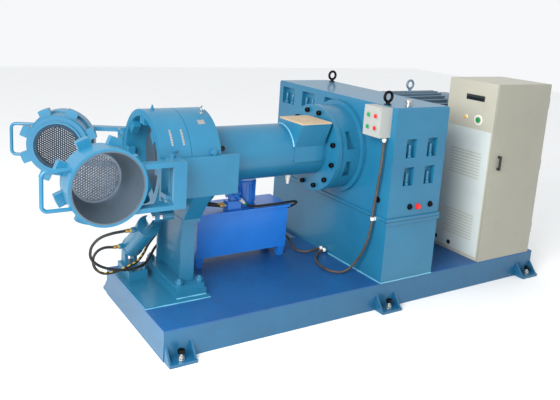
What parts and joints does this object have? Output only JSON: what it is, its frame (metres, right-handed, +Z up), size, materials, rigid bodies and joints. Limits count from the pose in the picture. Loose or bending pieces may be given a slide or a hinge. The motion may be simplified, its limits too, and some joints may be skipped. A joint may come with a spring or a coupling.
{
  "type": "hot feed rubber extruder",
  "caption": "Hot feed rubber extruder on a steel base: two swing heads with screen plates, a lugged lock ring, a short barrel, gearbox, motor, oil unit and control cabinet.",
  "frame": {"origin": "on the floor, midway between the four corner anchor bolts of the base", "axes": "+X from the heads to the drive end, +Y away from the operator's side, +Z up"},
  "size_m": [4.26, 1.8, 1.718],
  "materials": {
    "machine_paint": "satin steel-blue machine enamel",
    "deck_paint": "worn blue deck paint",
    "tank_paint": "royal blue enamel",
    "bare_steel": "machined bare steel",
    "cabinet_paint": "cream powder coat",
    "panel_paint": "pale grey powder coat",
    "box_paint": "off-white powder coat",
    "board": "plain fibreboard",
    "black_plastic": "black moulded plastic",
    "green_plastic": "green moulded plastic",
    "red_plastic": "red moulded plastic",
    "white_plastic": "white moulded plastic",
    "hose_rubber": "black rubber hydraulic hose",
    "conduit_plastic": "brown flexible conduit"
  },
  "bodies": {
    "frame": {"front_rail": "machine_paint", "rear_rail": "machine_paint", "head_end_rail": "machine_paint", "drive_end_rail": "machine_paint", "bay_frame": "machine_paint", "deck_plate": "deck_paint", "bay_deck": "deck_paint", "mounting_pad": "deck_paint", "head_pedestal": "machine_paint", "saddle_bracket": "machine_paint", "barrel_ring": "machine_paint", "barrel": "machine_paint", "feed_section": "machine_paint", "feed_hopper": "machine_paint", "feed_cover": "board", "bearing_housing": "machine_paint", "gearbox_pedestal": "machine_paint", "gearbox_case": "machine_paint", "drive_motor": "machine_paint", "motor_stand": "machine_paint", "cabinet_shell": "cabinet_paint", "louvre_panel": "panel_paint", "control_box": "box_paint", "oil_tank": "tank_paint", "tank_lid": "tank_paint", "pump_motor": "tank_paint", "valve_block": "bare_steel", "lock_cylinder": "machine_paint", "cylinder_bracket": "machine_paint", "front_hinge_pin": "bare_steel", "rear_hinge_pin": "bare_steel", "conduit_clip": "white_plastic", "control_conduit": "conduit_plastic", "tank_conduit": "conduit_plastic", "lock_hose_a": "hose_rubber", "lock_hose_b": "hose_rubber", "tank_hose": "hose_rubber"},
    "front_head": {"front_head": "machine_paint", "front_screen": "bare_steel"},
    "rear_head": {"rear_head": "machine_paint", "rear_screen": "bare_steel"},
    "lock_ring": {"lock_ring": "machine_paint"},
    "cylinder_rod": {"cylinder_rod": "bare_steel"},
    "screw": {"screw": "bare_steel"},
    "cabinet_door": {"cabinet_door": "cabinet_paint", "door_handle": "black_plastic"},
    "selector_knob": {"selector_knob": "green_plastic"},
    "button_green_1": {"button_green_1": "green_plastic"},
    "button_green_2": {"button_green_2": "green_plastic"},
    "button_red_1": {"button_red_1": "red_plastic"},
    "button_red_2": {"button_red_2": "red_plastic"}
  },
  "joints": [
    {"name": "front_head_swing", "type": "hinge", "parent": "frame", "child": "front_head", "pos_m": [-1.658, -0.335, 1.115], "axis": [0, 0, 1], "range_deg": [-90, 45]},
    {"name": "rear_head_swing", "type": "hinge", "parent": "frame", "child": "rear_head", "pos_m": [-1.658, 0.565, 1.115], "axis": [0, 0, 1], "range_deg": [-25, 45]},
    {"name": "lock_ring_turn", "type": "hinge", "parent": "frame", "child": "lock_ring", "pos_m": [-1.585, 0.115, 1.145], "axis": [-1, 0, 0], "range_deg": [0, 22.5]},
    {"name": "rod_slide", "type": "slide", "parent": "frame", "child": "cylinder_rod", "axis": [0, -0.7656, 0.6434], "range_m": [0, 0.1556]},
    {"name": "cabinet_door_swing", "type": "hinge", "parent": "frame", "child": "cabinet_door", "pos_m": [1.722, -0.545, 0.96], "axis": [0, 0, 1], "range_deg": [0, 110]},
    {"name": "screw_turn", "type": "hinge", "parent": "frame", "child": "screw", "pos_m": [-0.875, 0.115, 1.145], "axis": [1, 0, 0], "continuous": true},
    {"name": "selector_turn", "type": "hinge", "parent": "frame", "child": "selector_knob", "pos_m": [1.045, -0.3731, 1.40132], "axis": [1, 0, 0], "range_deg": [-45, 45]},
    {"name": "button_green_1_press", "type": "slide", "parent": "frame", "child": "button_green_1", "axis": [1, 0, 0], "range_m": [0, 0.004], "stiffness_N_per_m": 900},
    {"name": "button_green_2_press", "type": "slide", "parent": "frame", "child": "button_green_2", "axis": [1, 0, 0], "range_m": [0, 0.004], "stiffness_N_per_m": 900},
    {"name": "button_red_1_press", "type": "slide", "parent": "frame", "child": "button_red_1", "axis": [1, 0, 0], "range_m": [0, 0.004], "stiffness_N_per_m": 900},
    {"name": "button_red_2_press", "type": "slide", "parent": "frame", "child": "button_red_2", "axis": [1, 0, 0], "range_m": [0, 0.004], "stiffness_N_per_m": 900}
  ],
  "couplings": [
    {"joint": "rod_slide", "follows": "lock_ring_turn", "m_per_rad": 0.39545}
  ]
}
